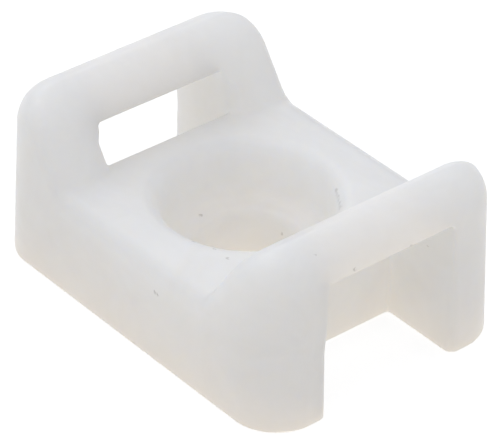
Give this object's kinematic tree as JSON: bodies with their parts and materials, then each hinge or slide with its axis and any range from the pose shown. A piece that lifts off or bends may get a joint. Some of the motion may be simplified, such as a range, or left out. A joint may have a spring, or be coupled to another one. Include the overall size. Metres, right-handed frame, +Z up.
{
  "type": "cable tie mount",
  "caption": "Screw-down saddle mount for cable ties: a flat deck with a recessed screw hole between arched ends that the tie threads through.",
  "frame": {"origin": "middle of the flat mounting face, under the screw hole's axis", "axes": "+X along the mount, through both tie slots; +Y across it; +Z up, away from the surface it is screwed to"},
  "size_m": [0.022, 0.0154, 0.0097],
  "materials": {
    "nylon": "moulded natural nylon, satin and slightly translucent"
  },
  "bodies": {
    "root": {"mount": "nylon"}
  },
  "joints": []
}
